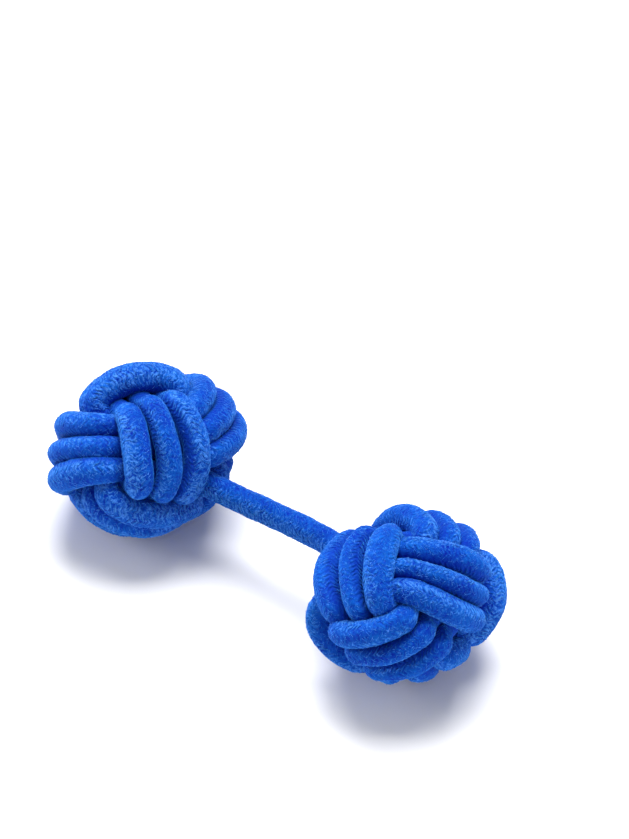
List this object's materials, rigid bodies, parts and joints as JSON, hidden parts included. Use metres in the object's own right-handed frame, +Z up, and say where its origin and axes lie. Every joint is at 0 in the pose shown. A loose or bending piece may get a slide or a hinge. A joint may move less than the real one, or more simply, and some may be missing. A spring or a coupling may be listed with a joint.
{
  "type": "silk knot cuff button",
  "caption": "Silk knot cuff button: ball knots of braided blue cord at either end of a short cord link, worn through the buttonholes of a shirt cuff.",
  "frame": {"origin": "bottom centre of the bounding box, on the surface that the button lies on", "axes": "+X along the link from the far knot to the near knot, +Z up from the surface, +Y to the back, away from the camera"},
  "size_m": [0.0334, 0.0134, 0.0103],
  "materials": {
    "cord": "braided silk cord, soft sheen",
    "core": "plain, hidden inside the knot"
  },
  "bodies": {
    "root": {"link_cord": "cord", "near_knot_core": "core", "near_knot_first_pass": "cord", "near_knot_second_pass": "cord", "near_knot_third_pass": "cord", "far_knot_core": "core", "far_knot_first_pass": "cord", "far_knot_second_pass": "cord", "far_knot_third_pass": "cord"}
  },
  "joints": []
}
